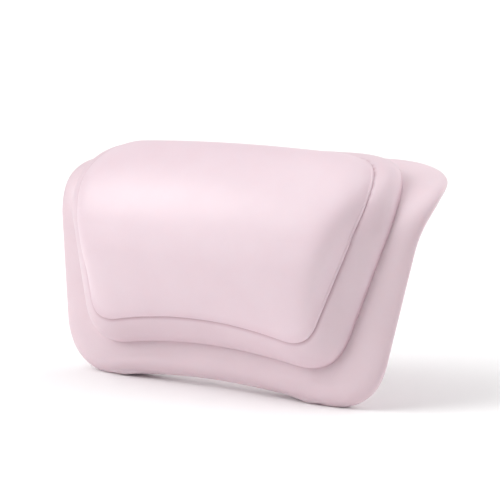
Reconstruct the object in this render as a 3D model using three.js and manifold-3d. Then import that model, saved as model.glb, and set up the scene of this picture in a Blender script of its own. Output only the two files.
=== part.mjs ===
// Bath pillow: a moulded foam head rest in three stepped layers. Its swept lip hooks over the rim
// of a bath, and four suction cups on its back hold it to the bath wall.
// Millimetres. X runs to the pillow's left and right, the head rests on the -Y side, +Z is up.
// The origin is on the ground, under the centre of the bounding box.
import * as THREE from 'three';
import { mergeVertices } from 'three/addons/utils/BufferGeometryUtils.js';
import Module from 'manifold-3d';

const wasm = await Module();
wasm.setup();

const degree = Math.PI / 180;

// The face that all three layers follow: a wall that leans back, a bend and a straight lip
const faceLean = 7.9 * degree;
const wallLength = 113;
const bendRadius = 47.2;
const bendSweep = 72 * degree;
const lipLength = 49.3;
const planRadius = 2380;
const topWidth = 329;
const footWidth = 248.8;
const faceLength = wallLength + bendRadius * bendSweep + lipLength;

// Back shell
const shellEdge = 9.5;
const shellLip = 5;
const shellFoot = 17;
const shellFootLength = 45;
const shellCornerLow = 50.8;
const shellCornerHigh = 70;
const shellArchLow = 14.6;
const shellArchHigh = 3.8;
const shellRoundness = 2.2;
const shellBackRound = 4;
const shellEdgeShare = 0.6;
const shellRollShare = 1.2;
const footTrim = 1;

// Middle tier, measured in from the shell's edge
const middleInsetLow = 31.2;
const middleInsetHigh = 7.7;
const middleStart = 26.8;
const middleEndInset = 24.4;
const middleHeightLow = 18;
const middleHeightHigh = 14;
const middleRoundness = 2.6;
const middleWall = 2;
const middleCornerLow = 39;
const middleCornerHigh = 63.3;
const middleArch = 11.7;

// Head pad, a soft skin over a foam core, measured in from the shell's edge
const padInsetLow = 47.1;
const padInsetHigh = 26.4;
const padStart = 44.8;
const padEndInset = 53;
const padStep = 1.6;
const padBevel = 1;
const padCornerLow = 24.4;
const padCornerHigh = 31;
const padArch = 11.4;
const padNeckSwell = 3;
const padBellySwell = 18;
const padCrownSwell = 14;
const padSkin = 2.5;
const padSkinRim = 9;
const coreSideSlack = 1.2;
const coreFrontSlack = 0.6;
const padRollShares = { start: 0.06, full: 0.5, crown: 0.95 };
const padRoundness = 7;
const padDomeShare = 0.4;
const slabShare = 0.08;

// Mounting panel, the thick flat block on the shell's back
const panelDepth = 24;
const panelEdgeInset = 29;
const panelStart = 3.4;
const panelEnd = 126;
const panelCorner = 30;
const panelBevel = 2;

// Stiffener plate, in a bed between the shell and the middle tier
const plateBed = 6;
const plateThickness = 2.2;
const plateInset = 5;
const plateHighHalfWidth = 100;
const plateEndInset = 3;
const plateCorner = 14;
const plateRibHeight = 1.3;
const plateRibWidth = 2.4;
const slotWidth = 8;
const slotLength = 34;
const slotSpacing = 26;
const slotCount = 3;
const slotDrop = 23;

// Suction cups
const cupRadius = 21;
const cupProud = 3;
const cupRimWidth = 2.6;
const cupRimThickness = 1.1;
const cupRimBevel = 0.5;
const cupWall = 2;
const cupShoulder = 6.5;
const cupNeckRadius = 2.9;
const cupHeadRadius = 4.2;
const cupHeadTip = 3;
const cupHeadLength = 3.4;
const cupHeadBarb = 1.8;
const cupHeadBase = 0.6;
const cupTabLength = 7;
const cupTabWidth = 8;
const cupTabThickness = 1.3;
const cupTabDrop = 0.7;
const cupTabRoot = 2;
const upperCupAcross = 86;
const upperCupDrop = 19;
const lowerCupAcross = 50;
const lowerCupHeight = 51;
const upperCupHeight = wallLength - upperCupDrop;

// Pockets in the panel and the sockets that hold the cups in them
const pocketMargin = 2;
const pocketFloor = 15;
const socketRadius = 6.6;
const socketWall = 1.5;
const socketFlange = 1.5;
const socketFlangeWidth = 3.4;
const socketFlangeBevel = 0.5;
const socketCollarWidth = 1.4;
const socketCollar = 1;
const socketMouth = 0.4;

// Clearance between neighbours, how far a cutter runs past what it cuts, how thick a cutter is, and
// how far the middle tier's tread starts below its front
const gap = 0.3;
const overrun = 2;
const cutterDepth = 24;
const treadSink = 0.1;

// Steps along curves
const cornerSteps = 6;
const edgeSteps = 7;
const roundSteps = 5;
const rollSteps = 6;
const rimSteps = 3;
const cupSteps = 28;
const socketSteps = 20;
const wallSteps = 5;
const bendSteps = 7;
const lipSteps = 2;
const acrossSteps = 8;
const leastTurn = 0.2 * degree;

// A point on the shared face: across the pillow, up along the face, and out of it to the front
function facePoint(across, up, out) {
  const bend = THREE.MathUtils.clamp((up - wallLength) / (bendRadius * bendSweep), 0, 1) * bendSweep;
  const wall = Math.min(up, wallLength);
  const lip = Math.max(up - wallLength - bendRadius * bendSweep, 0);
  const angle = faceLean + bend;
  const back = wall * Math.sin(faceLean) + lip * Math.sin(angle)
    + bendRadius * (Math.cos(faceLean) - Math.cos(angle)) + across ** 2 / (2 * planRadius);
  const height = wall * Math.cos(faceLean) + lip * Math.cos(angle)
    + bendRadius * (Math.sin(angle) - Math.sin(faceLean));
  const normal = new THREE.Vector3(across / planRadius, -Math.cos(angle), Math.sin(angle)).normalize();
  return new THREE.Vector3(across, back, height).addScaledVector(normal, out);
}

function halfWidthAt(up) {
  return footWidth / 2 + (topWidth - footWidth) / 2 * up / faceLength;
}

// A four-cornered outline with round corners, in face coordinates, from the lower left corner round.
// The straight edges at the foot and at the head are arched upward at the middle.
function roundOutline({ low, high, halfLow, halfHigh, cornerLow, cornerHigh, archLow = 0, archHigh = 0 }) {
  const corners = [
    new THREE.Vector2(-halfLow, low), new THREE.Vector2(halfLow, low),
    new THREE.Vector2(halfHigh, high), new THREE.Vector2(-halfHigh, high),
  ];
  const radii = [cornerLow, cornerLow, cornerHigh, cornerHigh];
  const arcs = corners.map((corner, index) => {
    const before = corners[(index + 3) % 4].clone().sub(corner).normalize();
    const after = corners[(index + 1) % 4].clone().sub(corner).normalize();
    const half = Math.acos(before.dot(after)) / 2;
    const reach = radii[index] / Math.tan(half);
    const middle = before.clone().add(after).normalize().multiplyScalar(radii[index] / Math.sin(half));
    const centre = corner.clone().add(middle);
    const from = corner.clone().addScaledVector(before, reach).sub(centre);
    const turn = Math.PI - 2 * half;
    return Array.from({ length: cornerSteps + 1 }, (_, step) => (
      from.clone().rotateAround(new THREE.Vector2(), turn * step / cornerSteps).add(centre)
    ));
  });
  const points = [];
  arcs.forEach((arc, index) => {
    points.push(...arc);
    const from = arc[cornerSteps];
    const to = arcs[(index + 1) % 4][0];
    for (let step = 1; step < edgeSteps; step += 1) {
      points.push(from.clone().lerp(to, step / edgeSteps));
    }
  });
  return points.map((point) => {
    const rise = THREE.MathUtils.clamp((point.y - low) / (high - low), 0, 1);
    const lowArch = archLow * Math.max(1 - (point.x / halfLow) ** 2, 0) * (1 - rise) ** 2;
    const highArch = archHigh * Math.max(1 - (point.x / halfHigh) ** 2, 0) * rise ** 2;
    return new THREE.Vector2(point.x, point.y + lowArch + highArch);
  });
}

// The outline moved inward, by a distance that may change with the height up the face
function insetBy(outline, distanceAt) {
  return outline.map((point, index) => {
    const before = outline[(index + outline.length - 1) % outline.length];
    const after = outline[(index + 1) % outline.length];
    const along = after.clone().sub(before).normalize();
    const distance = distanceAt(point.y);
    return new THREE.Vector2(point.x - along.y * distance, point.y + along.x * distance);
  });
}

const insetOutline = (outline, distance) => insetBy(outline, () => distance);

// The outline drawn in toward a level line in its middle: share 0 is the outline, share 1 the line
function drawnIn(outline, share) {
  const rights = outline.map((point) => point.x);
  const ups = outline.map((point) => point.y);
  const halfWidth = Math.max(...rights);
  const low = Math.min(...ups);
  const high = Math.max(...ups);
  const middle = (low + high) / 2;
  const lineShare = Math.max(1 - (high - low) / 2 / halfWidth, 0);
  return outline.map((point) => new THREE.Vector2(
    point.x * (1 - share * (1 - lineShare)), THREE.MathUtils.lerp(point.y, middle, share),
  ));
}

// One closed skin through rings of points, with a point at each end to close it. Each four-sided
// patch is split along its shorter diagonal.
function loftGeometry(rings, firstPole, lastPole) {
  const points = [firstPole, ...rings.flat(), lastPole];
  const count = rings[0].length;
  const last = points.length - 1;
  const index = [];
  const at = (ring, step) => 1 + ring * count + step % count;
  for (let step = 0; step < count; step += 1) {
    index.push(0, at(0, step), at(0, step + 1));
    for (let ring = 0; ring < rings.length - 1; ring += 1) {
      const [a, b] = [at(ring, step), at(ring + 1, step)];
      const [c, d] = [at(ring + 1, step + 1), at(ring, step + 1)];
      const alongFirst = points[a].distanceTo(points[c]) < points[b].distanceTo(points[d]);
      index.push(...(alongFirst ? [a, b, c, a, c, d] : [a, b, d, b, c, d]));
    }
    index.push(last, at(rings.length - 1, step + 1), at(rings.length - 1, step));
  }
  const geometry = new THREE.BufferGeometry();
  geometry.setAttribute('position', new THREE.Float32BufferAttribute(
    points.flatMap((point) => point.toArray()), 3,
  ));
  geometry.setIndex(index);
  geometry.computeVertexNormals();
  return geometry;
}

function solidOf(geometry, matrix = new THREE.Matrix4()) {
  const bare = geometry.clone();
  bare.deleteAttribute('normal');
  bare.deleteAttribute('uv');
  const merged = mergeVertices(bare.applyMatrix4(matrix));
  return new wasm.Manifold(new wasm.Mesh({
    numProp: 3,
    vertProperties: new Float32Array(merged.attributes.position.array),
    triVerts: new Uint32Array(merged.index.array),
  }));
}

function geometryOf(solid) {
  const mesh = solid.getMesh();
  const geometry = new THREE.BufferGeometry();
  geometry.setAttribute('position', new THREE.BufferAttribute(new Float32Array(mesh.vertProperties), 3));
  geometry.setIndex(new THREE.BufferAttribute(new Uint32Array(mesh.triVerts), 1));
  geometry.computeVertexNormals();
  return geometry;
}

function extruded(shape, depth, bevel = 0) {
  return new THREE.ExtrudeGeometry(shape, {
    depth: depth - bevel * 2,
    bevelEnabled: bevel > 0,
    bevelSize: bevel,
    bevelOffset: -bevel,
    bevelThickness: bevel,
    bevelSegments: 2,
    curveSegments: cornerSteps,
  }).translate(0, 0, bevel);
}

// Shapes drawn on the leaning wall: x across, y up the wall, extruded toward the back.
// A flip about the upward line would mirror the shape, so it is turned and its depth runs from the
// given distance behind the face.
const wallFrame = new THREE.Matrix4().makeRotationX(-faceLean);
const wallDrawing = wallFrame.clone().multiply(new THREE.Matrix4().makeRotationX(Math.PI / 2));

function wallBlock(shape, front, back, bevel = 0) {
  const block = extruded(shape, back - front, bevel).translate(0, 0, -back);
  return solidOf(block, wallDrawing);
}

// A turned piece on the wall: its profile gives a radius and a distance behind the face
function turned(profile, across, up, steps) {
  const geometry = new THREE.LatheGeometry(profile, steps);
  return geometry.applyMatrix4(new THREE.Matrix4().makeTranslation(across, 0, up)).applyMatrix4(wallFrame);
}

const profilePoint = (radius, depth) => new THREE.Vector2(radius, depth);

// The outlines of the layers
const shellOutline = roundOutline({
  low: 0,
  high: faceLength,
  halfLow: footWidth / 2,
  halfHigh: topWidth / 2,
  cornerLow: shellCornerLow,
  cornerHigh: shellCornerHigh,
  archLow: shellArchLow,
  archHigh: shellArchHigh,
});
const middleEnd = faceLength - middleEndInset;
const middleHalfLow = halfWidthAt(middleStart) - middleInsetLow;
const middleOutline = roundOutline({
  low: middleStart,
  high: middleEnd,
  halfLow: middleHalfLow,
  halfHigh: halfWidthAt(middleEnd) - middleInsetHigh,
  cornerLow: middleCornerLow,
  cornerHigh: middleCornerHigh,
  archLow: middleArch,
});
const padEnd = faceLength - padEndInset;
const padHalfHigh = halfWidthAt(padEnd) - padInsetHigh;
const padOutline = roundOutline({
  low: padStart,
  high: padEnd,
  halfLow: halfWidthAt(padStart) - padInsetLow,
  halfHigh: padHalfHigh,
  cornerLow: padCornerLow,
  cornerHigh: padCornerHigh,
  archLow: padArch,
});
const panelOutline = roundOutline({
  low: panelStart,
  high: panelEnd,
  halfLow: halfWidthAt(panelStart) - panelEdgeInset,
  halfHigh: halfWidthAt(panelEnd) - panelEdgeInset,
  cornerLow: panelCorner,
  cornerHigh: panelCorner,
  archLow: shellArchLow,
});
const plateOutline = roundOutline({
  low: middleStart + plateInset,
  high: wallLength - plateEndInset,
  halfLow: middleHalfLow - plateInset,
  halfHigh: plateHighHalfWidth,
  cornerLow: plateCorner,
  cornerHigh: plateCorner,
  archLow: middleArch,
});

// How far each layer's front stands out of the face
function shellDepthAt(up) {
  const toEdge = THREE.MathUtils.smoothstep(up, 0, shellFootLength);
  const toLip = THREE.MathUtils.smoothstep(up, wallLength, faceLength);
  return THREE.MathUtils.lerp(shellFoot, shellEdge, toEdge) - (shellEdge - shellLip) * toLip;
}

function middleHeightAt(up) {
  const toEnd = THREE.MathUtils.smoothstep(up, middleStart, middleEnd);
  return THREE.MathUtils.lerp(middleHeightLow, middleHeightHigh, toEnd);
}

function padHeightAt(up, share, across = 0) {
  const rise = (up - padStart) / (padEnd - padStart);
  const toBelly = THREE.MathUtils.smoothstep(rise, padRollShares.start, padRollShares.full);
  const toCrown = THREE.MathUtils.smoothstep(rise, padRollShares.full, padRollShares.crown);
  const full = THREE.MathUtils.lerp(padBellySwell, padCrownSwell, toCrown);
  const dome = 1 - padDomeShare * (across / padHalfHigh) ** 2;
  const swell = THREE.MathUtils.lerp(padNeckSwell, full, toBelly) * dome;
  return middleHeightAt(up) + padStep + swell * (1 - (1 - share) ** padRoundness);
}

const faceShares = [0.3, 0.65];
const centreOf = (outline) => drawnIn(outline, 1)[0].y;

function ring(outline, heightAt) {
  return outline.map((point) => facePoint(point.x, point.y, heightAt(point.y, point.x)));
}

function ringsOverFace(outline, shares, heightAt) {
  return shares.map((share) => ring(drawnIn(outline, share), (up, across) => heightAt(up, share, across)));
}

function pole(outline, heightAt) {
  const up = centreOf(outline);
  return facePoint(0, up, heightAt(up, 1));
}

const outwards = (shares) => shares.slice().reverse();

// Heights up the face where every layer has its creases, so that layers lie parallel on each other
function upStations() {
  const bendLength = bendRadius * bendSweep;
  const stations = [-faceLength * slabShare];
  for (let step = 0; step < wallSteps; step += 1) {
    stations.push(wallLength * step / wallSteps);
  }
  for (let step = 0; step < bendSteps; step += 1) {
    stations.push(wallLength + bendLength * step / bendSteps);
  }
  for (let step = 0; step < lipSteps; step += 1) {
    stations.push(wallLength + bendLength + lipLength * step / lipSteps);
  }
  stations.push(faceLength * (1 + slabShare));
  return stations;
}

// A slab that follows the whole face between two distances out of it, for cutting layers apart
function faceSlab(lowAt, highAt) {
  const stations = upStations();
  const halfAcross = topWidth / 2 * (1 + slabShare);
  const section = (across) => [
    ...stations.map((up) => facePoint(across, up, highAt(up))),
    ...outwards(stations).map((up) => facePoint(across, up, lowAt(up))),
  ];
  const sections = Array.from({ length: acrossSteps + 1 }, (_, step) => (
    section(halfAcross * (2 * step / acrossSteps - 1))
  ));
  const middle = (across) => facePoint(across, wallLength, (lowAt(wallLength) + highAt(wallLength)) / 2);
  return solidOf(loftGeometry(sections, middle(-halfAcross), middle(halfAcross)));
}

// Steps over a tread that rolls from level to steep: how far out each is, and how level it still is
function rollSteppings(roundness) {
  return Array.from({ length: rollSteps + 1 }, (_, step) => {
    const turn = Math.PI / 2 * step / rollSteps;
    return { reach: Math.sin(turn) ** (2 / roundness), level: Math.cos(turn) ** (2 / roundness) };
  });
}

// The shell's own loft: a front that rolls off to a thin edge, and a back that is thicker at the foot
function shellLoft() {
  const front = () => overrun;
  const back = (up) => -shellDepthAt(up) - overrun;
  const rollWidth = (up) => shellDepthAt(up) * shellRollShare;
  const edgeDepth = (up) => shellDepthAt(up) * shellEdgeShare;
  const roll = rollSteppings(shellRoundness).slice(1).map(({ reach, level }) => {
    const outline = insetBy(shellOutline, (up) => rollWidth(up) * (1 - reach));
    return ring(outline, (up) => -edgeDepth(up) * (1 - level));
  });
  const rim = Array.from({ length: rimSteps - 1 }, (_, step) => {
    const turn = Math.PI / 2 * (step + 1) / rimSteps;
    const outline = insetOutline(shellOutline, shellBackRound * (1 - Math.cos(turn)));
    return ring(outline, (up) => THREE.MathUtils.lerp(-edgeDepth(up), -shellDepthAt(up), Math.sin(turn)));
  });
  const rings = [
    ...ringsOverFace(shellOutline, outwards(faceShares), front),
    ring(insetBy(shellOutline, rollWidth), front),
    ...roll,
    ...rim,
    ring(insetOutline(shellOutline, shellBackRound), back),
    ...ringsOverFace(shellOutline, faceShares, back),
  ];
  return loftGeometry(rings, pole(shellOutline, front), pole(shellOutline, back));
}

const cupPlaces = [
  { name: 'upper_left', across: -upperCupAcross, up: upperCupHeight },
  { name: 'upper_right', across: upperCupAcross, up: upperCupHeight },
  { name: 'lower_left', across: -lowerCupAcross, up: lowerCupHeight },
  { name: 'lower_right', across: lowerCupAcross, up: lowerCupHeight },
];

function discPoints(radius, across, up, steps) {
  return Array.from({ length: steps }, (_, step) => {
    const turn = 2 * Math.PI * step / steps;
    return new THREE.Vector2(across + radius * Math.cos(turn), up + radius * Math.sin(turn));
  });
}

function discShape(radius, across, up, steps) {
  return new THREE.Shape(discPoints(radius, across, up, steps));
}

// The points at which an outline turns. Without those on its straight edges a flat end has no slivers.
function turningPoints(outline) {
  return outline.filter((point, index) => {
    const before = point.clone().sub(outline[(index + outline.length - 1) % outline.length]).normalize();
    const after = outline[(index + 1) % outline.length].clone().sub(point).normalize();
    return Math.abs(before.cross(after)) > leastTurn;
  });
}

function flatShape(outline) {
  return new THREE.Shape(turningPoints(outline));
}

function backShell() {
  const panelFront = shellEdge / 2;
  let shell = solidOf(shellLoft()).subtract(faceSlab(() => 0, () => cutterDepth));
  shell = shell.subtract(faceSlab((up) => -shellDepthAt(up) - cutterDepth, (up) => -shellDepthAt(up)));
  shell = shell.add(wallBlock(flatShape(panelOutline), panelFront, panelDepth, panelBevel));
  const bed = flatShape(insetOutline(plateOutline, -gap));
  shell = shell.subtract(wallBlock(bed, -overrun, plateBed));
  cupPlaces.forEach(({ across, up }) => {
    const pocket = discShape(cupRadius + pocketMargin, across, up, cupSteps);
    const hole = discShape(socketRadius + gap, across, up, socketSteps);
    shell = shell.subtract(wallBlock(pocket, pocketFloor, panelDepth + overrun));
    shell = shell.subtract(wallBlock(hole, -overrun, panelDepth));
  });
  const ground = groundHeight(shell);
  const below = new THREE.BoxGeometry(topWidth, topWidth, topWidth);
  const lowered = new THREE.Matrix4().makeTranslation(0, 0, ground - topWidth / 2);
  return geometryOf(shell.subtract(solidOf(below, lowered)));
}

// The height at which the foot is trimmed flat
function groundHeight(solid) {
  return solid.boundingBox().min[2] + footTrim;
}

// The middle tier: its whole tread rolls over, from the pad down to a short wall on the shell
function middleTier() {
  const back = () => -overrun;
  const front = (up) => middleHeightAt(up) + overrun;
  const roll = rollSteppings(middleRoundness).map(({ reach, level }) => {
    const outline = padOutline.map((point, index) => point.clone().lerp(middleOutline[index], reach));
    return ring(outline, (up) => THREE.MathUtils.lerp(middleWall, middleHeightAt(up) - treadSink, level));
  });
  const rings = [
    ...ringsOverFace(padOutline, outwards(faceShares), front),
    ring(insetOutline(padOutline, overrun), front),
    ...roll,
    ring(middleOutline, back),
    ...ringsOverFace(middleOutline, faceShares, back),
  ];
  const loft = loftGeometry(rings, pole(padOutline, front), pole(middleOutline, back));
  const under = faceSlab(() => -cutterDepth, () => gap);
  const above = faceSlab(middleHeightAt, (up) => middleHeightAt(up) + cutterDepth);
  return geometryOf(solidOf(loft).subtract(under).subtract(above));
}

const padHalfHeight = (padEnd - padStart) / 2;
const padShares = [0.05, 0.12, 0.22, 0.36, 0.54, 0.76];
const coreShares = [0.3, 0.45, 0.62, 0.8];

// Everything up to the middle tier's front and the clearance on it, which the pad's pieces clear
function padSeatCut(solid) {
  return geometryOf(solid.subtract(faceSlab(() => 0, (up) => middleHeightAt(up) + gap)));
}

// The pad's skin: a low crisp step all round, then a swelling crown, open at the back for its core
function padSkinShell() {
  const rimShare = padSkinRim / padHalfHeight;
  const seat = (up) => middleHeightAt(up) - overrun;
  const stepTop = (up) => padHeightAt(up, 0) - padBevel;
  const inside = (up, share, across) => padHeightAt(up, share, across) - padSkin;
  const rings = [
    ...ringsOverFace(padOutline, outwards(padShares), padHeightAt),
    ring(insetOutline(padOutline, padBevel), (up) => padHeightAt(up, 0)),
    ring(padOutline, stepTop),
    ring(padOutline, seat),
    ...ringsOverFace(padOutline, [rimShare], seat),
    ...ringsOverFace(padOutline, [rimShare, ...coreShares], inside),
  ];
  return padSeatCut(solidOf(loftGeometry(rings, pole(padOutline, padHeightAt), pole(padOutline, inside))));
}

function padCore() {
  const rimShare = (padSkinRim + coreSideSlack) / padHalfHeight;
  const seat = (up) => middleHeightAt(up) - overrun;
  const front = (up, share, across) => padHeightAt(up, share, across) - padSkin - coreFrontSlack;
  const rings = [
    ...ringsOverFace(padOutline, [...outwards(coreShares), rimShare], front),
    ...ringsOverFace(padOutline, [rimShare, faceShares[1]], seat),
  ];
  return padSeatCut(solidOf(loftGeometry(rings, pole(padOutline, front), pole(padOutline, seat))));
}

// The plate's front and back, measured behind the face
const plateBack = plateBed - gap;
const plateFront = plateBack - plateThickness;
const ribFront = plateFront - plateRibHeight;

function barShape(across, up, width, length) {
  const shape = new THREE.Shape();
  const reach = (length - width) / 2;
  shape.absarc(across, up + reach, width / 2, 0, Math.PI);
  shape.absarc(across, up - reach, width / 2, Math.PI, 2 * Math.PI);
  return shape;
}

function stiffenerPlate() {
  let plate = wallBlock(flatShape(plateOutline), plateFront, plateBack);
  const ribRadius = socketRadius + socketCollarWidth + gap;
  const edgeRib = flatShape(insetOutline(plateOutline, plateRibWidth));
  edgeRib.holes.push(new THREE.Path(turningPoints(insetOutline(plateOutline, plateRibWidth * 2))));
  plate = plate.add(wallBlock(edgeRib, ribFront, plateFront + gap));
  cupPlaces.forEach(({ across, up }) => {
    const boss = discShape(ribRadius + plateRibWidth, across, up, socketSteps);
    const collarRoom = discShape(ribRadius, across, up, socketSteps);
    const hole = discShape(socketRadius + gap, across, up, socketSteps);
    plate = plate.add(wallBlock(boss, ribFront, plateFront + gap));
    plate = plate.subtract(wallBlock(collarRoom, -overrun, plateFront));
    plate = plate.subtract(wallBlock(hole, -overrun, plateBed + overrun));
  });
  for (let slot = 0; slot < slotCount; slot += 1) {
    const across = (slot - (slotCount - 1) / 2) * slotSpacing;
    const bar = barShape(across, wallLength - slotDrop, slotWidth, slotLength);
    plate = plate.subtract(wallBlock(bar, -overrun, plateBed + overrun));
  }
  return geometryOf(plate);
}

// Depths of the socket and the cup behind the face
const flangeFront = pocketFloor + gap;
const flangeBack = flangeFront + socketFlange;
const headBack = flangeFront - gap;
const headFront = headBack - cupHeadLength;
const chamberFront = headFront - gap;
const collarBack = plateFront - gap;
const collarFront = collarBack - socketCollar;
const rimDepth = panelDepth + cupProud;
const bellDepth = flangeBack + gap * 2;

// A socket: a collar in front of the plate, a barrel, a flange in the pocket and a blind chamber
function cupSocket(across, up) {
  const chamber = cupHeadRadius + gap;
  const mouth = cupNeckRadius + socketMouth;
  const flangeRadius = socketRadius + socketFlangeWidth;
  const collarRadius = socketRadius + socketCollarWidth;
  return turned([
    profilePoint(0, chamberFront - socketWall),
    profilePoint(socketRadius - socketWall, chamberFront - socketWall),
    profilePoint(socketRadius - socketWall, collarFront),
    profilePoint(collarRadius, collarFront),
    profilePoint(collarRadius, collarBack),
    profilePoint(socketRadius, collarBack),
    profilePoint(socketRadius, flangeFront),
    profilePoint(flangeRadius, flangeFront),
    profilePoint(flangeRadius, flangeBack - socketFlangeBevel),
    profilePoint(flangeRadius - socketFlangeBevel, flangeBack),
    profilePoint(mouth, flangeBack),
    profilePoint(mouth, flangeFront),
    profilePoint(chamber, flangeFront),
    profilePoint(chamber, chamberFront),
    profilePoint(0, chamberFront),
  ], across, up, socketSteps);
}

// Points on a quarter of an ellipse, flat at its start and steep at its end
function bellCurve(fromRadius, toRadius, fromDepth, toDepth) {
  return Array.from({ length: roundSteps + 1 }, (_, step) => {
    const turn = Math.PI / 2 * step / roundSteps;
    const radius = fromRadius + (toRadius - fromRadius) * Math.sin(turn);
    return profilePoint(radius, fromDepth + (toDepth - fromDepth) * (1 - Math.cos(turn)));
  });
}

function suctionCup(across, up) {
  const rimInside = cupRadius - cupRimWidth;
  const hollow = bellCurve(0, rimInside - cupRimBevel, bellDepth + cupWall, rimDepth - cupRimBevel);
  const bell = turned([
    profilePoint(0, headFront),
    profilePoint(cupHeadTip, headFront),
    profilePoint(cupHeadRadius, headFront + cupHeadBarb),
    profilePoint(cupHeadRadius, headBack - cupHeadBase),
    profilePoint(cupNeckRadius, headBack),
    profilePoint(cupNeckRadius, bellDepth),
    ...bellCurve(cupShoulder, cupRadius, bellDepth, rimDepth - cupRimThickness),
    profilePoint(cupRadius, rimDepth),
    profilePoint(rimInside, rimDepth),
    ...hollow.reverse(),
  ], across, up, cupSteps);
  const outward = Math.sign(across);
  const reach = cupRadius + cupTabLength - cupTabWidth / 2;
  const tab = new THREE.Shape();
  tab.moveTo(cupRadius - cupTabRoot, -cupTabWidth / 2);
  tab.lineTo(reach, -cupTabWidth / 2);
  tab.absarc(reach, 0, cupTabWidth / 2, -Math.PI / 2, Math.PI / 2);
  tab.lineTo(cupRadius - cupTabRoot, cupTabWidth / 2);
  const placed = new THREE.Shape(tab.getPoints(cornerSteps).map((point) => (
    new THREE.Vector2(across + outward * point.x, up + point.y)
  )));
  const tabBack = rimDepth - cupTabDrop;
  const tabSolid = wallBlock(placed, tabBack - cupTabThickness, tabBack);
  return geometryOf(solidOf(bell).add(tabSolid));
}

// Materials
function material(color, roughness) {
  return new THREE.MeshStandardMaterial({ color, roughness, metalness: 0 });
}

const shellFoam = material(0xf0dbe1, 0.5);
const tierFoam = material(0xf1dde3, 0.5);
const padVinyl = material(0xf5e3e9, 0.45);
const coreFoam = material(0xf3e6cf, 0.9);
const plateResin = material(0xe9e6e2, 0.6);
const socketResin = material(0xe6dfe0, 0.5);
const cupVinyl = material(0xe4ebee, 0.2);

const pillow = new THREE.Group();

function addPiece(name, geometry, finish) {
  const mesh = new THREE.Mesh(geometry, finish);
  mesh.name = name;
  pillow.add(mesh);
}

addPiece('back_shell', backShell(), shellFoam);
addPiece('middle_tier', middleTier(), tierFoam);
addPiece('head_pad_skin', padSkinShell(), padVinyl);
addPiece('head_pad_core', padCore(), coreFoam);
addPiece('stiffener_plate', stiffenerPlate(), plateResin);
cupPlaces.forEach(({ name, across, up }) => {
  addPiece(`cup_socket_${name}`, cupSocket(across, up), socketResin);
  addPiece(`suction_cup_${name}`, suctionCup(across, up), cupVinyl);
});

const extent = new THREE.Box3().setFromObject(pillow, true);
pillow.position.set(0, -(extent.min.y + extent.max.y) / 2, -extent.min.z);

export default pillow;
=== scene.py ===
import math

import bmesh
import bpy
import numpy as np
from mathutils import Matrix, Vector
from mathutils.geometry import delaunay_2d_cdt


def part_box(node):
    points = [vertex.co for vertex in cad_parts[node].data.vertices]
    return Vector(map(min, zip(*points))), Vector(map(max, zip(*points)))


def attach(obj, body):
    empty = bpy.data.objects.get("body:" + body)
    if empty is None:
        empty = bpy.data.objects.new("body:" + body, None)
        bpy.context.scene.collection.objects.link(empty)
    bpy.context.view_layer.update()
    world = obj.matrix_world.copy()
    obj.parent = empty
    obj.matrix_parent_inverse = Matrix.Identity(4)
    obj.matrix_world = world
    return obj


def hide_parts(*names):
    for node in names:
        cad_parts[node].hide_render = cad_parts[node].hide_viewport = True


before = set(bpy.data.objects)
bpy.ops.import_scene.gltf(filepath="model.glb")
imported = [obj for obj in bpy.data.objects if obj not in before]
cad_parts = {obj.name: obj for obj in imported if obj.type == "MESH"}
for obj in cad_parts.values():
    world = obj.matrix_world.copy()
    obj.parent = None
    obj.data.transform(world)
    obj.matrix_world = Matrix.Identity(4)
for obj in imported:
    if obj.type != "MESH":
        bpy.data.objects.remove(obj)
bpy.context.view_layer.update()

DEGREE = math.pi / 180

# The face that the layers follow: a wall that leans back, a bend and a straight lip
FACE_LEAN = 7.9 * DEGREE
WALL_LENGTH = 0.113
BEND_RADIUS = 0.0472
BEND_SWEEP = 72 * DEGREE
LIP_LENGTH = 0.0493
PLAN_RADIUS = 2.38
TOP_WIDTH = 0.329
FOOT_WIDTH = 0.2488
BEND_LENGTH = BEND_RADIUS * BEND_SWEEP
FACE_LENGTH = WALL_LENGTH + BEND_LENGTH + LIP_LENGTH

# Back shell
SHELL_EDGE = 0.0095
SHELL_LIP = 0.005
SHELL_FOOT = 0.017
SHELL_FOOT_LENGTH = 0.045
SHELL_CORNER_LOW = 0.0508
SHELL_CORNER_HIGH = 0.07
SHELL_ARCH_LOW = 0.0146
SHELL_ARCH_HIGH = 0.0038
SHELL_ROUNDNESS = 1.8
SHELL_BACK_ROUND = 0.004
SHELL_EDGE_SHARE = 0.6
SHELL_ROLL_SHARE = 1.2
SHELL_ROLL_LOW = 0.015
SHELL_ROLL_SIDE = 0.02
SHELL_ROLL_WALL_SHARE = 0.6
# Painted pink bounce light on the shell's rounded rim: from how far over the roll it starts
SHELL_EDGE_BOUNCE_REACH = 0.4

# Middle tier
MIDDLE_INSET_LOW = 0.0312
MIDDLE_INSET_HIGH = 0.0077
MIDDLE_START = 0.0268
MIDDLE_END_INSET = 0.0244
MIDDLE_HEIGHT_LOW = 0.018
MIDDLE_HEIGHT_HIGH = 0.014
MIDDLE_ROUNDNESS_LOW = 1.5
MIDDLE_ROUNDNESS_HIGH = 2.6
MIDDLE_WALL = 0.002
# Where the painted crease shade lies on the middle tier: how near the pad, how near its own foot, and how
# strong there
MIDDLE_CREASE_SHADE_INNER_REACH = 0.12
MIDDLE_CREASE_SHADE_OUTER_REACH = 0.97
MIDDLE_CREASE_SHADE_OUTER_SHARE = 0.7
MIDDLE_CORNER_LOW = 0.039
MIDDLE_CORNER_HIGH = 0.0633
MIDDLE_ARCH = 0.0117

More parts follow.
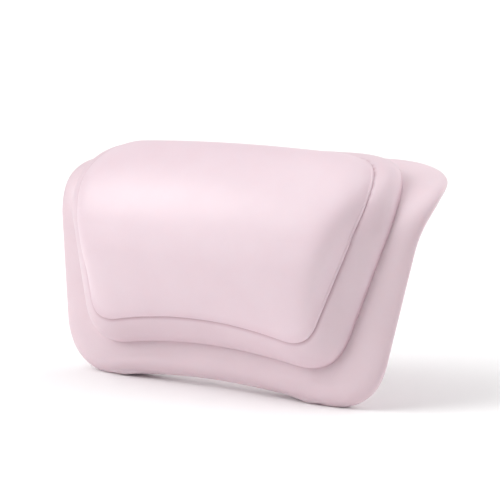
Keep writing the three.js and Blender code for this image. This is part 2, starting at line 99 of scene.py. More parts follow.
# Head pad
PAD_INSET_LOW = 0.0471
PAD_INSET_HIGH = 0.0264
PAD_START = 0.0448
PAD_END_INSET = 0.053
PAD_STEP = 0.0016
PAD_BEVEL = 0.0011
PAD_CORNER_LOW = 0.0244
PAD_CORNER_HIGH = 0.033
PAD_ARCH = 0.0114
PAD_NECK_SWELL = 0.0025
PAD_BELLY_SWELL = 0.0175
PAD_CROWN_SWELL = 0.0137
PAD_ROLL_START = 0.03
PAD_ROLL_FULL = 0.44
PAD_ROLL_CROWN = 0.9
PAD_ROUNDNESS = 10
PAD_BELLY_DOME_SHARE = 0.4
PAD_CROWN_DOME_SHARE = 0.75
PAD_RINGS_SHARE = 0.8
PAD_RING_CROWDING = 1.6
# Painted pink bounce light on the pad's rounded edge: how far in it reaches
PAD_EDGE_BOUNCE_SHARE = 1 / 12
# Painted shade in the creases: how much is left over the bend, and where up the wall it starts to fade
CREASE_SHADE_HIGH_SHARE = 0.3
CREASE_SHADE_WALL_SHARE = 0.7

# Mounting panel and its pockets
PANEL_DEPTH = 0.024
PANEL_FRONT = 0.006
PANEL_EDGE_INSET = 0.029
PANEL_START = 0.0034
PANEL_END = 0.126
PANEL_CORNER = 0.03
PANEL_ROUND = 0.0025
POCKET_RADIUS = 0.023
POCKET_FLOOR = 0.015
POCKET_ROUND = 0.0012
BARREL_HOLE = 0.0069

# Suction cups
CUP_RADIUS = 0.021
CUP_PROUD = 0.003
CUP_RIM_WIDTH = 0.0026
CUP_RIM_THICKNESS = 0.0011
CUP_WALL = 0.002
CUP_SHOULDER = 0.0065
CUP_NECK_RADIUS = 0.0029
CUP_NECK_DEPTH = 0.0156
CUP_BELL_DEPTH = 0.0174
CUP_TAB_LENGTH = 0.007
CUP_TAB_WIDTH = 0.008
CUP_TAB_THICKNESS = 0.0013
CUP_TAB_DROP = 0.0007
CUP_TAB_ROOT = 0.002
UPPER_CUP_ACROSS = 0.086
UPPER_CUP_HEIGHT = 0.094
LOWER_CUP_ACROSS = 0.05
LOWER_CUP_HEIGHT = 0.051

# Steps along curves
CORNER_STEPS = 28
EDGE_STEPS = 40
ROUND_STEPS = 12
SMALL_ROUND_STEPS = 6
ROLL_STEPS = 20
PAD_STEPS = 36
CUP_STEPS = 72
TAB_STEPS = 18

# Filled patches: the grid inside them, its clearance from their edges, and how near points are one
FILL_SPACING = 0.004
CUP_FILL_SPACING = 0.002
FILL_CLEARANCE_SHARE = 0.6
FILL_WELD = 2e-9
WELD = 2e-6
INSIDE_ONLY = 1

CUP_PLACES = {
    "upper_left": (-UPPER_CUP_ACROSS, UPPER_CUP_HEIGHT),
    "upper_right": (UPPER_CUP_ACROSS, UPPER_CUP_HEIGHT),
    "lower_left": (-LOWER_CUP_ACROSS, LOWER_CUP_HEIGHT),
    "lower_right": (LOWER_CUP_ACROSS, LOWER_CUP_HEIGHT),
}
RIM_DEPTH = PANEL_DEPTH + CUP_PROUD


def face_shift():
    """Where the face's own origin lies in the frame, from the rim of one suction cup."""
    low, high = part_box("suction_cup_upper_left")
    rim_back = RIM_DEPTH * math.cos(FACE_LEAN) + (UPPER_CUP_HEIGHT + CUP_RADIUS) * math.sin(FACE_LEAN)
    rim_low = (UPPER_CUP_HEIGHT - CUP_RADIUS) * math.cos(FACE_LEAN) - RIM_DEPTH * math.sin(FACE_LEAN)
    return np.array([0.0, high[1] - rim_back, low[2] - rim_low])


FACE_SHIFT = face_shift()


def smoothstep(value, low, high):
    share = np.clip((value - low) / (high - low), 0, 1)
    return share * share * (3 - 2 * share)


def lerp(low, high, share):
    return low + (high - low) * share


def face_points(flat, out):
    """Points of the face from (across, up) pairs and a distance out of it."""
    across, up = flat[:, 0], flat[:, 1]
    angle = FACE_LEAN + np.clip((up - WALL_LENGTH) / BEND_LENGTH, 0, 1) * BEND_SWEEP
    wall = np.minimum(up, WALL_LENGTH)
    lip = np.maximum(up - WALL_LENGTH - BEND_LENGTH, 0)
    back = (wall * math.sin(FACE_LEAN) + lip * np.sin(angle)
            + BEND_RADIUS * (math.cos(FACE_LEAN) - np.cos(angle)) + across ** 2 / (2 * PLAN_RADIUS))
    height = (wall * math.cos(FACE_LEAN) + lip * np.cos(angle)
              + BEND_RADIUS * (np.sin(angle) - math.sin(FACE_LEAN)))
    normal = np.stack([across / PLAN_RADIUS, -np.cos(angle), np.sin(angle)], axis=1)
    normal /= np.linalg.norm(normal, axis=1)[:, None]
    return np.stack([across, back, height], axis=1) + normal * np.reshape(out, (-1, 1)) + FACE_SHIFT


def wall_points(flat, depth):
    """Points behind the plane of the leaning wall, from (across, up) pairs and a depth."""
    depth = np.broadcast_to(depth, len(flat))
    back = depth * math.cos(FACE_LEAN) + flat[:, 1] * math.sin(FACE_LEAN)
    height = flat[:, 1] * math.cos(FACE_LEAN) - depth * math.sin(FACE_LEAN)
    return np.stack([flat[:, 0], back, height], axis=1) + FACE_SHIFT


def half_width(up):
    return lerp(FOOT_WIDTH, TOP_WIDTH, up / FACE_LENGTH) / 2


def round_outline(low, high, half_low, half_high, corner_low, corner_high, arch_low=0.0, arch_high=0.0):
    """A four-cornered outline with round corners, arched upward at its foot and its head."""
    corners = np.array([(-half_low, low), (half_low, low), (half_high, high), (-half_high, high)])
    radii = [corner_low, corner_low, corner_high, corner_high]
    arcs = []
    for index, corner in enumerate(corners):
        before = corners[index - 1] - corner
        after = corners[(index + 1) % 4] - corner
        before /= np.linalg.norm(before)
        after /= np.linalg.norm(after)
        half = math.acos(before @ after) / 2
        inward = (before + after) / np.linalg.norm(before + after)
        centre = corner + inward * radii[index] / math.sin(half)
        start = corner + before * radii[index] / math.tan(half) - centre
        turns = np.linspace(0, math.pi - 2 * half, CORNER_STEPS + 1)[:, None]
        sideways = np.array([-start[1], start[0]])
        arcs.append(centre + np.cos(turns) * start + np.sin(turns) * sideways)
    points = []
    for index, arc in enumerate(arcs):
        edge = np.linspace(0, 1, EDGE_STEPS + 1)[1:-1, None]
        points += [arc, lerp(arc[-1], arcs[(index + 1) % 4][0], edge)]
    outline = np.concatenate(points)
    rise = np.clip((outline[:, 1] - low) / (high - low), 0, 1)
    low_arch = arch_low * np.maximum(1 - (outline[:, 0] / half_low) ** 2, 0) * (1 - rise) ** 2
    high_arch = arch_high * np.maximum(1 - (outline[:, 0] / half_high) ** 2, 0) * rise ** 2
    outline[:, 1] += low_arch + high_arch
    return outline


def inset(outline, distance):
    """The outline moved inward, by one distance or by one for each point."""
    along = np.roll(outline, -1, axis=0) - np.roll(outline, 1, axis=0)
    along /= np.linalg.norm(along, axis=1)[:, None]
    inward = np.stack([-along[:, 1], along[:, 0]], axis=1)
    return outline + inward * np.reshape(distance, (-1, 1))


def drawn_in(outline, share):
    """The outline drawn in toward a level line in its middle."""
    half = outline[:, 0].max()
    low, high = outline[:, 1].min(), outline[:, 1].max()
    line_share = max(1 - (high - low) / 2 / half, 0)
    across = outline[:, 0] * (1 - share * (1 - line_share))
    return np.stack([across, lerp(outline[:, 1], (low + high) / 2, share)], axis=1)


def circle(radius, centre, steps=CUP_STEPS):
    turns = np.linspace(0, 2 * math.pi, steps, endpoint=False)
    return np.array(centre) + radius * np.stack([np.cos(turns), np.sin(turns)], axis=1)


def quarter_turn(steps=SMALL_ROUND_STEPS):
    return np.linspace(0, math.pi / 2, steps + 1)


def inside(points, loop):
    """Which points lie inside a closed loop."""
    x, y = points[:, 0][:, None], points[:, 1][:, None]
    ax, ay = loop[:, 0], loop[:, 1]
    bx, by = np.roll(ax, -1), np.roll(ay, -1)
    spans = (ay > y) != (by > y)
    rise = np.where(by == ay, 1.0, by - ay)
    crossings = spans & (x < (bx - ax) * (y - ay) / rise + ax)
    return crossings.sum(axis=1) % 2 == 1


class Skin:
    """Collects rings and filled patches of points, and welds them into one closed mesh."""

    def __init__(self):
        self.points = []
        self.faces = []
        self.creases = []
        self.edges = []
        self.count = 0

    def add(self, points, faces, crease, edge):
        self.points.append(points)
        self.faces += [tuple(self.count + corner for corner in face) for face in faces]
        self.creases.append(np.broadcast_to(crease, len(points)))
        self.edges.append(np.broadcast_to(edge, len(points)))
        self.count += len(points)

    def loft(self, rings, creases=None, edges=None):
        """Quads through closed rings of equal length."""
        size = len(rings[0])
        creases = creases or [0.0] * len(rings)
        edges = edges or [0.0] * len(rings)
        faces = []
        for row in range(len(rings) - 1):
            for step in range(size):
                near, far = row * size, (row + 1) * size
                following = (step + 1) % size
                faces.append((near + step, near + following, far + following, far + step))
        creases = np.concatenate([np.broadcast_to(crease, size) for crease in creases])
        self.add(np.concatenate(rings), faces, creases, np.repeat(edges, size))

    def fill(self, outer, holes, place, spacing=FILL_SPACING, flipped=False, crease=0.0):
        """Triangles over a flat region, with a grid of points inside it, put in place by a function."""
        loops = [outer, *holes]
        low, high = outer.min(axis=0), outer.max(axis=0)
        columns = np.arange(low[0], high[0], spacing)
        rows = np.arange(low[1], high[1], spacing)
        grid = np.stack(np.meshgrid(columns, rows), axis=-1).reshape(-1, 2)
        grid = grid[inside(grid, outer) & self.region(grid, holes)]
        border = np.concatenate(loops)
        if len(grid):
            gaps = np.array([np.linalg.norm(border - point, axis=1).min() for point in grid])
            grid = grid[gaps > spacing * FILL_CLEARANCE_SHARE]
        links, start = [], 0
        for loop in loops:
            size = len(loop)
            links += [(start + step, start + (step + 1) % size) for step in range(size)]
            start += size
        flat = np.concatenate([border, grid])
        result = delaunay_2d_cdt([Vector(point) for point in flat], links, [], INSIDE_ONLY, FILL_WELD)
        flat = np.array([tuple(point) for point in result[0]])
        triangles = np.array(result[2])
        triangles = triangles[self.region(flat[triangles].mean(axis=1), holes)]
        if flipped:
            triangles = triangles[:, ::-1]
        self.add(place(flat), [tuple(int(corner) for corner in row) for row in triangles], crease, 0.0)

    @staticmethod
    def region(points, holes):
        """Which points lie in none of the holes."""
        keep = np.full(len(points), True)
        for hole in holes:
            keep &= ~inside(points, hole)
        return keep

    def piece(self, name, body, material, slot):
        """The welded mesh as an object that rides on a body. Nothing reaches below the ground."""
        points = np.concatenate(self.points)
        points[:, 2] = np.maximum(points[:, 2], 0)
        mesh = bpy.data.meshes.new(name)
        mesh.from_pydata(points.tolist(), [], self.faces)
        # crease and edge: masks for the painted shade in creases and the painted pink bounce light on
        # rounded edges
        for label, values in (("crease", self.creases), ("edge", self.edges)):
            attribute = mesh.attributes.new(label, "FLOAT", "POINT")
            attribute.data.foreach_set("value", np.concatenate(values).astype(np.float32))
        work = bmesh.new()
        work.from_mesh(mesh)
        bmesh.ops.remove_doubles(work, verts=work.verts, dist=WELD)
        bmesh.ops.delete(work, geom=[vert for vert in work.verts if not vert.link_faces], context="VERTS")
        bmesh.ops.recalc_face_normals(work, faces=work.faces)
        work.to_mesh(mesh)
        work.free()
        mesh.shade_smooth()
        thing = bpy.data.objects.new(name, mesh)
        bpy.context.scene.collection.objects.link(thing)
        thing.data.materials.append(material)
        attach(thing, body)
        return thing


# Outlines of the layers
shell_outline = round_outline(0, FACE_LENGTH, FOOT_WIDTH / 2, TOP_WIDTH / 2, SHELL_CORNER_LOW,
                              SHELL_CORNER_HIGH, SHELL_ARCH_LOW, SHELL_ARCH_HIGH)
middle_end = FACE_LENGTH - MIDDLE_END_INSET
middle_outline = round_outline(
    MIDDLE_START, middle_end, half_width(MIDDLE_START) - MIDDLE_INSET_LOW,
    half_width(middle_end) - MIDDLE_INSET_HIGH, MIDDLE_CORNER_LOW, MIDDLE_CORNER_HIGH, MIDDLE_ARCH)
pad_end = FACE_LENGTH - PAD_END_INSET
pad_half_high = half_width(pad_end) - PAD_INSET_HIGH
pad_outline = round_outline(
    PAD_START, pad_end, half_width(PAD_START) - PAD_INSET_LOW, pad_half_high,
    PAD_CORNER_LOW, PAD_CORNER_HIGH, PAD_ARCH)
panel_outline = round_outline(
    PANEL_START, PANEL_END, half_width(PANEL_START) - PANEL_EDGE_INSET,
    half_width(PANEL_END) - PANEL_EDGE_INSET, PANEL_CORNER, PANEL_CORNER, SHELL_ARCH_LOW)


def shell_depth(up):
    thinned = (SHELL_EDGE - SHELL_LIP) * smoothstep(up, WALL_LENGTH, FACE_LENGTH)
    return lerp(SHELL_FOOT, SHELL_EDGE, smoothstep(up, 0, SHELL_FOOT_LENGTH)) - thinned


def middle_height(up):
    return lerp(MIDDLE_HEIGHT_LOW, MIDDLE_HEIGHT_HIGH, smoothstep(up, MIDDLE_START, middle_end))


def pad_height(flat, share):
    across, up = flat[:, 0], flat[:, 1]
    rise = (up - PAD_START) / (pad_end - PAD_START)
    crown = smoothstep(rise, PAD_ROLL_FULL, PAD_ROLL_CROWN)
    dome = 1 - lerp(PAD_BELLY_DOME_SHARE, PAD_CROWN_DOME_SHARE, crown) * (across / pad_half_high) ** 2
    full = lerp(PAD_BELLY_SWELL, PAD_CROWN_SWELL, crown)
    swell = lerp(PAD_NECK_SWELL, full, smoothstep(rise, PAD_ROLL_START, PAD_ROLL_FULL)) * dome
    return middle_height(up) + PAD_STEP + swell * (1 - (1 - share) ** PAD_ROUNDNESS)


def roll_steps(roundness):
    """How far out each step over a rolled tread is."""
    return np.sin(np.linspace(math.pi / 2, 0, ROLL_STEPS + 1)) ** (2 / roundness)


def level_at(reach, roundness):
    """How level a rolled tread still is, this far out."""
    return np.maximum(1 - reach ** roundness, 0) ** (1 / roundness)


def crease_shade_depth(up):
    """How deep the painted shade of a crease is: full beside the wall, faint over the bend."""
    return lerp(1.0, CREASE_SHADE_HIGH_SHARE, smoothstep(up, WALL_LENGTH * CREASE_SHADE_WALL_SHARE, pad_end))


def shell_roll(up):
    """How wide the shell's front rolls off: wide beside the tiers, narrow along the lip."""
    beside = lerp(SHELL_ROLL_LOW, SHELL_ROLL_SIDE, smoothstep(up, 0, SHELL_FOOT_LENGTH))
    narrowed = smoothstep(up, WALL_LENGTH * SHELL_ROLL_WALL_SHARE, middle_end)
    return lerp(beside, shell_depth(up) * SHELL_ROLL_SHARE, narrowed)


def back_shell(material):
    """The shell: a front that rolls off to a thin edge, a rounded rim and a smooth back."""
    skin = Skin()
    # edges: painted pink bounce light, full at the shell's outer rim and fading toward its back and
    # across the front roll
    rings, edges = [], []
    for turn in np.linspace(math.pi / 2, 0, ROUND_STEPS + 1)[:-1]:
        ring = inset(shell_outline, SHELL_BACK_ROUND * (1 - math.cos(turn)))
        depth_share = lerp(SHELL_EDGE_SHARE, 1, math.sin(turn))
        rings.append(face_points(ring, -shell_depth(ring[:, 1]) * depth_share))
        edges.append(math.cos(turn))
    for reach in roll_steps(SHELL_ROUNDNESS):
        ring = inset(shell_outline, shell_roll(shell_outline[:, 1]) * (1 - reach))
        drop = 1 - level_at(reach, SHELL_ROUNDNESS)
        rings.append(face_points(ring, -shell_depth(ring[:, 1]) * SHELL_EDGE_SHARE * drop))
        edges.append(smoothstep(reach, SHELL_EDGE_BOUNCE_REACH, 1))
    skin.loft(rings, edges=edges)
    skin.fill(ring, [], lambda flat: face_points(flat, 0))
    back = inset(shell_outline, SHELL_BACK_ROUND)
    skin.fill(back, [], lambda flat: face_points(flat, -shell_depth(flat[:, 1])), flipped=True)
    piece = skin.piece("foam_back_shell", "pillow", material, "shell_foam")
    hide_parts("back_shell")


def mounting_panel(material):
    """The flat block on the shell's back, with a round pocket for each cup."""
    skin = Skin()
    wall = [wall_points(panel_outline, PANEL_FRONT)]
    for turn in quarter_turn():
        ring = inset(panel_outline, PANEL_ROUND * (1 - math.cos(turn)))
        wall.append(wall_points(ring, PANEL_DEPTH - PANEL_ROUND * (1 - math.sin(turn))))
    skin.loft(wall)
    skin.fill(panel_outline, [], lambda flat: wall_points(flat, PANEL_FRONT), flipped=True)
    mouths = []
    for centre in CUP_PLACES.values():
        pocket = []
        for turn in quarter_turn():
            ring = circle(POCKET_RADIUS + POCKET_ROUND * (1 - math.sin(turn)), centre)
            pocket.append(wall_points(ring, PANEL_DEPTH - POCKET_ROUND * (1 - math.cos(turn))))
        for turn in quarter_turn():
            ring = circle(POCKET_RADIUS - POCKET_ROUND * (1 - math.cos(turn)), centre)
            pocket.append(wall_points(ring, POCKET_FLOOR + POCKET_ROUND * (1 - math.sin(turn))))
        hole = circle(BARREL_HOLE, centre)
        pocket += [wall_points(hole, POCKET_FLOOR), wall_points(hole, PANEL_FRONT + POCKET_ROUND)]
        skin.loft(pocket)
        skin.fill(hole, [], lambda flat: wall_points(flat, PANEL_FRONT + POCKET_ROUND))
        mouths.append(circle(POCKET_RADIUS + POCKET_ROUND, centre))
    skin.fill(inset(panel_outline, PANEL_ROUND), mouths, lambda flat: wall_points(flat, PANEL_DEPTH))
    piece = skin.piece("foam_mounting_panel", "pillow", material, "shell_foam")


def middle_tier(material):
    """The middle tier: its whole tread rolls over, from the pad down to a short wall on the shell."""
    skin = Skin()
    rings, creases = [face_points(middle_outline, -MIDDLE_WALL)], [1.0]
    roundness = lerp(MIDDLE_ROUNDNESS_LOW, MIDDLE_ROUNDNESS_HIGH,
                     smoothstep(middle_outline[:, 1], WALL_LENGTH, middle_end))
    for reach in roll_steps(MIDDLE_ROUNDNESS_HIGH):
        ring = lerp(pad_outline, middle_outline, reach)
        level = level_at(reach, roundness)
        rings.append(face_points(ring, lerp(MIDDLE_WALL, middle_height(ring[:, 1]), level)))
        # Painted shade: the deep colour beside the pad and at the tier's own foot
        inner = smoothstep(reach, MIDDLE_CREASE_SHADE_INNER_REACH, 0)
        outer = smoothstep(reach, MIDDLE_CREASE_SHADE_OUTER_REACH, 1) * MIDDLE_CREASE_SHADE_OUTER_SHARE
        creases.append((inner + outer) * crease_shade_depth(ring[:, 1]))
    skin.loft(rings, creases)
    skin.fill(pad_outline, [], lambda flat: face_points(flat, middle_height(flat[:, 1])), crease=1.0)
    skin.fill(middle_outline, [], lambda flat: face_points(flat, -MIDDLE_WALL), flipped=True)
    piece = skin.piece("foam_middle_tier", "pillow", material, "tier_foam")
    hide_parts("middle_tier")


def head_pad(material):
    """The head pad: a low crisp step all round, a belly that swells and a crown that rolls over."""
    skin = Skin()
    rings = [face_points(pad_outline, middle_height(pad_outline[:, 1]) - PAD_BEVEL)]
    # Painted shade at the pad's foot; the edge values lay painted pink bounce light over its bevel and
    # outer rings
    creases, edges = [crease_shade_depth(pad_outline[:, 1])], [0.0]
    for turn in quarter_turn():
        ring = inset(pad_outline, PAD_BEVEL * (1 - math.cos(turn)))
        rings.append(face_points(ring, pad_height(ring, 0) - PAD_BEVEL * (1 - math.sin(turn))))
        creases.append(0.0)
        edges.append(math.sin(turn))
    top = inset(pad_outline, PAD_BEVEL)
    shares = PAD_RINGS_SHARE * np.linspace(0, 1, PAD_STEPS + 1)[1:] ** PAD_RING_CROWDING
    for share in shares:
        ring = drawn_in(top, share)
        rings.append(face_points(ring, pad_height(ring, share)))
        creases.append(0.0)
        edges.append(max(1 - share / PAD_EDGE_BOUNCE_SHARE, 0.0))
    skin.loft(rings, creases, edges)
    skin.fill(ring, [], lambda flat: face_points(flat, pad_height(flat, shares[-1])))
    skin.fill(pad_outline, [], lambda flat: face_points(flat, middle_height(flat[:, 1]) - PAD_BEVEL),
              flipped=True)
    piece = skin.piece("foam_head_pad", "pillow", material, "pad_skin")
    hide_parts("head_pad_skin", "head_pad_core")


def bell_curve(from_radius, to_radius, from_depth, to_depth):
    """Half of a cup's section: level at its shoulder, steep at its rim."""
    turns = quarter_turn(ROUND_STEPS)
    radius = lerp(from_radius, to_radius, np.sin(turns))
    return np.stack([radius, lerp(from_depth, to_depth, 1 - np.cos(turns))], axis=1)


def suction_cup(name, centre, material):
    """A soft bell with a thin rim, and a pull tab on its outer side."""
    skin = Skin()
    rim_inside = CUP_RADIUS - CUP_RIM_WIDTH
    back = bell_curve(CUP_SHOULDER, CUP_RADIUS, CUP_BELL_DEPTH, RIM_DEPTH - CUP_RIM_THICKNESS)
    hollow = bell_curve(CUP_NECK_RADIUS, rim_inside, CUP_BELL_DEPTH + CUP_WALL, RIM_DEPTH)[::-1]
    profile = [(CUP_NECK_RADIUS, CUP_NECK_DEPTH), (CUP_NECK_RADIUS, CUP_BELL_DEPTH), *back,
               (CUP_RADIUS, RIM_DEPTH), *hollow]
    skin.loft([wall_points(circle(radius, centre), depth) for radius, depth in profile])
    tip = circle(CUP_NECK_RADIUS, centre)
    skin.fill(tip, [], lambda flat: wall_points(flat, CUP_NECK_DEPTH), CUP_FILL_SPACING, flipped=True)
    skin.fill(tip, [], lambda flat: wall_points(flat, CUP_BELL_DEPTH + CUP_WALL), CUP_FILL_SPACING)
    outward = math.copysign(1, centre[0])
    reach = CUP_RADIUS + CUP_TAB_LENGTH - CUP_TAB_WIDTH / 2
    turns = np.linspace(-math.pi / 2, math.pi / 2, TAB_STEPS)
    end = np.stack([reach + CUP_TAB_WIDTH / 2 * np.cos(turns), CUP_TAB_WIDTH / 2 * np.sin(turns)], axis=1)
    root = CUP_RADIUS - CUP_TAB_ROOT
    tab = np.concatenate([[(root, -CUP_TAB_WIDTH / 2)], end, [(root, CUP_TAB_WIDTH / 2)]])
    tab = tab * (outward, 1) + centre
    tab = tab[::-1] if outward < 0 else tab
    tab_back = RIM_DEPTH - CUP_TAB_DROP
    tab_front = tab_back - CUP_TAB_THICKNESS
    skin.loft([wall_points(tab, tab_front), wall_points(tab, tab_back)])
    skin.fill(tab, [], lambda flat: wall_points(flat, tab_front), CUP_FILL_SPACING, flipped=True)
    skin.fill(tab, [], lambda flat: wall_points(flat, tab_back), CUP_FILL_SPACING)
    piece = skin.piece(f"vinyl_cup_{name}", f"{name}_cup", material, "cup")
    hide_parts(f"suction_cup_{name}")


class Signal:
    """A node's output that takes part in sums."""

    def __init__(self, graph, socket):
        self.graph = graph
        self.socket = socket

    def math(self, operation, first, second):
        return self.graph.node("ShaderNodeMath", {"operation": operation}, [first, second])

    def __add__(self, other):
        return self.math("ADD", self, other)

    def __radd__(self, other):
        return self.math("ADD", other, self)

    def __mul__(self, other):
        return self.math("MULTIPLY", self, other)

    def __rmul__(self, other):
        return self.math("MULTIPLY", other, self)


class Graph:
    """The nodes of a material or of the world, round the shader that it starts with."""

    def __init__(self, owner, shader):
        owner.use_nodes = True
        self.owner = owner
        self.tree = owner.node_tree
        self.shader = self.tree.nodes[shader]

    def connect(self, socket, value):
        """A link where the value is a signal, and otherwise the socket's own value."""
        if isinstance(value, Signal):
            self.tree.links.new(value.socket, socket)
        else:
            socket.default_value = value

    def node(self, kind, settings=None, values=(), output=0):
        """One node: its settings first, then the values or links of its sockets."""
        made = self.tree.nodes.new(kind)
        for label, setting in (settings or {}).items():
            setattr(made, label, setting)
        pairs = values.items() if isinstance(values, dict) else enumerate(values)
        for key, value in pairs:
            self.connect(made.inputs[key], value)
        return Signal(self, made.outputs[output])

    def mix(self, factor, first, second):
        values = {"Factor": factor, 6: first, 7: second}
        return self.node("ShaderNodeMix", {"data_type": "RGBA"}, values, output=2)

    def noise(self, place, scale, detail=2.0):
        return self.node("ShaderNodeTexNoise", {}, {"Vector": place, "Scale": scale, "Detail": detail})

    def attribute(self, label):
        return self.node("ShaderNodeAttribute", {"attribute_name": label}, output="Fac")

    def place(self, space="Object"):
        return self.node("ShaderNodeTexCoord", output=space)

    def dress(self, **values):
        """Values or links of the shader's own sockets."""
        for label, value in values.items():
            self.connect(self.shader.inputs[label.replace("_", " ")], value)
        return self.owner


def new_finish(name):
    return Graph(bpy.data.materials.new(name), "Principled BSDF")


# Foam skin: how far each effect goes toward the deeper colour, and the grain's part in its bumps
FOAM_MOTTLE_SHARE = 0.22
FOAM_EDGE_BOUNCE_SHARE = 0.2
FOAM_CREASE_SHADE_SHARE = 0.8
FOAM_GRAIN_SHARE = 0.35


def colour(red, green, blue):
    """A colour as seen, 0 to 255, as the shader's linear one."""
    def linear(value):
        share = value / 255
        return share / 12.92 if share <= 0.04045 else ((share + 0.055) / 1.055) ** 2.4
    return (linear(red), linear(green), linear(blue), 1.0)


# The photo's colours, a light and a deep one for each foam, and those of the hidden pieces
# Each deep colour also serves as the painted shade in creases and the painted pink bounce light on
# rounded edges
SHELL_LIGHT = colour(232, 211, 218)
SHELL_DEEP = colour(208, 176, 186)
TIER_LIGHT = colour(230, 208, 216)
TIER_DEEP = colour(199, 163, 174)
PAD_LIGHT = colour(236, 215, 223)
PAD_DEEP = colour(214, 177, 189)
VINYL_TINT = colour(250, 251, 252)
SOCKET_TINT = colour(226, 214, 218)
PLATE_TINT = colour(230, 226, 222)
# Set pieces, linear
WHITE = (1.0, 1.0, 1.0, 1.0)
BLACK = (0.0, 0.0, 0.0, 1.0)
PAPER = (0.98, 0.98, 0.98, 1.0)


def darker(tint, share):
    return (*[value * share for value in tint[:3]], 1.0)


def uneven_gloss(graph, place, scale, roughness, spread):
    """A roughness that wanders a little over the surface."""
    return graph.noise(place, scale) * spread + (roughness - spread / 2)


def bumps(graph, height, strength, distance):
    values = {"Strength": strength, "Distance": distance, "Height": height}
    return graph.node("ShaderNodeBump", {}, values)


def moulded_foam(name, light, deep):
    """Satin skin of moulded foam: faint mottling, and its deeper colour painted into creases as shade and
    along rounded edges as pink bounce light.
    """
    graph = new_finish(name)
    place = graph.place()
    mottle = graph.noise(place, scale=34.0, detail=3.0)
    skin = graph.mix(mottle, light, graph.mix(FOAM_MOTTLE_SHARE, light, deep))
    # Painted pink bounce light: the deep colour along rounded edges
    skin = graph.mix(graph.attribute("edge") * FOAM_EDGE_BOUNCE_SHARE, skin, deep)
    # Painted shade: the deep colour in the creases between the layers
    skin = graph.mix(graph.attribute("crease") * FOAM_CREASE_SHADE_SHARE, skin, deep)
    grain = graph.noise(place, scale=1500.0)
    dimples = graph.noise(place, scale=260.0)
    height = grain * FOAM_GRAIN_SHARE + dimples * (1 - FOAM_GRAIN_SHARE)
    gloss = uneven_gloss(graph, place, scale=90.0, roughness=0.42, spread=0.08)
    return graph.dress(
        Base_Color=skin, Roughness=gloss, Normal=bumps(graph, height, strength=0.06, distance=0.0004),
        Specular_IOR_Level=0.7, Subsurface_Weight=0.12, Subsurface_Radius=(1.0, 0.55, 0.5),
        Subsurface_Scale=0.004)


def moulded_plastic(name, tint, roughness):
    """Plain moulded plastic with a fine grain."""
    graph = new_finish(name)
    place = graph.place()
    shade = graph.mix(graph.noise(place, scale=60.0), tint, darker(tint, 0.93))
    gloss = uneven_gloss(graph, place, scale=150.0, roughness=roughness, spread=0.12)
    grain = bumps(graph, graph.noise(place, scale=1800.0), strength=0.1, distance=0.0002)
    return graph.dress(Base_Color=shade, Roughness=gloss, Normal=grain)


def clear_vinyl(name, tint):
    """Soft clear vinyl, slightly cloudy."""
    graph = new_finish(name)
    place = graph.place()
    shade = graph.mix(graph.noise(place, scale=40.0), tint, darker(tint, 0.95))
    gloss = uneven_gloss(graph, place, scale=120.0, roughness=0.15, spread=0.1)
    return graph.dress(Base_Color=shade, Roughness=gloss, Transmission_Weight=0.55, IOR=1.46)


# Camera and lights
CAMERA_AZIMUTH = 34.5 * DEGREE
CAMERA_ELEVATION = 8.5 * DEGREE
CAMERA_DISTANCE = 1.2833
CAMERA_AIM = np.array([0.008, 0.0404, 0.0989])
CAMERA_LENS = 136.0
STAGE_REACH = 12.0
# Soft boxes out in the sky: azimuth, elevation, how tight, how strong
SKY_BOXES = ((-100, 15, 5, 0.4), (180, 20, 5, 1.2), (120, 20, 5, 1.76))
# Soft lamps: azimuth, elevation, spread, how strong
LAMPS = (
    (0, 90, 60, 1.22),
    (-60, 35, 30, 0.6),
    (-45, 30, 36, 0.92),
    (-30, 30, 30, 0.3),
    (-40, 62, 36, 0.45),
)


def away_from_aim(azimuth, elevation):
    """The direction out to a camera or a light. Azimuth 0 is in front, at -Y."""
    level = math.cos(elevation)
    return np.array([math.sin(azimuth) * level, -math.cos(azimuth) * level, math.sin(elevation)])


def aimed(thing, place, aim):
    """A camera or a lamp at its place, turned to look at its aim."""
    thing.location = place
    thing.rotation_euler = (Vector(aim) - Vector(place)).to_track_quat("-Z", "Y").to_euler()
    bpy.context.scene.collection.objects.link(thing)
    return thing


def photo_camera():
    lens = bpy.data.cameras.new("photo_camera")
    lens.lens = CAMERA_LENS
    lens.clip_start = 0.05
    aim = CAMERA_AIM + FACE_SHIFT
    away = away_from_aim(CAMERA_AZIMUTH, CAMERA_ELEVATION)
    camera = aimed(bpy.data.objects.new("photo_camera", lens), aim + away * CAMERA_DISTANCE, aim)
    bpy.context.scene.camera = camera


def soft_light(name, azimuth, elevation, spread, power):
    lamp = bpy.data.lights.new(name, "SUN")
    lamp.angle = spread
    lamp.energy = power
    aimed(bpy.data.objects.new(name, lamp), away_from_aim(azimuth, elevation), (0, 0, 0))


def sky():
    """A dark world with a few soft boxes of white light, each brightest in its middle."""
    graph = Graph(bpy.data.worlds.new("studio_light"), "Background")
    outward = graph.place("Generated")
    total = 0.0
    for azimuth, elevation, tightness, strength in SKY_BOXES:
        middle = away_from_aim(azimuth * DEGREE, elevation * DEGREE)
        facing = graph.node("ShaderNodeVectorMath", {"operation": "DOT_PRODUCT"}, [outward, middle],
                            output="Value")
        lit = facing.math("MAXIMUM", facing, 0.0)
        total = lit.math("POWER", lit, tightness) * strength + total
    return graph.dress(Color=WHITE, Strength=total)


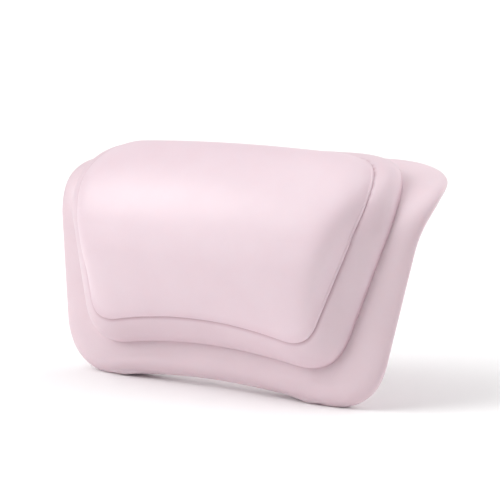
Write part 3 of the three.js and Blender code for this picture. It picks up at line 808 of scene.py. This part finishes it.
def set_piece(name, points, faces, material):
    """A floor or a backdrop, which is no part of the pillow."""
    mesh = bpy.data.meshes.new(name)
    mesh.from_pydata(points, [], faces)
    mesh.materials.append(material)
    thing = bpy.data.objects.new(name, mesh)
    bpy.context.scene.collection.objects.link(thing)
    return thing


def paper_sweep():
    """A pale floor, and white walls at its far edges that the studio light passes through."""
    low = [(-STAGE_REACH, -STAGE_REACH, 0), (STAGE_REACH, -STAGE_REACH, 0),
           (STAGE_REACH, STAGE_REACH, 0), (-STAGE_REACH, STAGE_REACH, 0)]
    high = [(across, along, STAGE_REACH) for across, along, _ in low]
    paper = new_finish("floor_paper")
    paper.dress(Base_Color=PAPER, Roughness=0.9)
    set_piece("floor", low, [(0, 1, 2, 3)], paper.owner)
    glow = new_finish("wall_white").dress(Base_Color=BLACK, Emission_Color=WHITE, Emission_Strength=1.0)
    sides = [(side, (side + 1) % 4, (side + 1) % 4 + 4, side + 4) for side in range(4)]
    walls = set_piece("backdrop", low + high, sides, glow)
    walls.visible_diffuse = False
    walls.visible_glossy = False
    walls.visible_shadow = False


def studio():
    bpy.context.scene.world = sky()
    bpy.context.scene.view_settings.view_transform = "Standard"
    for number, (azimuth, elevation, spread, power) in enumerate(LAMPS):
        soft_light(f"lamp_{number}", azimuth * DEGREE, elevation * DEGREE, spread * DEGREE, power)
    paper_sweep()


# The foam layers
shell_foam = moulded_foam("shell_foam_skin", SHELL_LIGHT, SHELL_DEEP)
tier_foam = moulded_foam("tier_foam_skin", TIER_LIGHT, TIER_DEEP)
pad_foam = moulded_foam("pad_foam_skin", PAD_LIGHT, PAD_DEEP)
back_shell(shell_foam)
mounting_panel(shell_foam)
middle_tier(tier_foam)
head_pad(pad_foam)

# The cups, their sockets and the plate
vinyl = clear_vinyl("cup_clear_vinyl", VINYL_TINT)
socket_plastic = moulded_plastic("socket_plastic", SOCKET_TINT, roughness=0.45)
plate_plastic = moulded_plastic("plate_plastic", PLATE_TINT, roughness=0.6)
for cup_name, cup_centre in CUP_PLACES.items():
    suction_cup(cup_name, cup_centre, vinyl)
    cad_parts[f"cup_socket_{cup_name}"].material_slots[0].material = socket_plastic
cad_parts["stiffener_plate"].material_slots[0].material = plate_plastic

photo_camera()
studio()
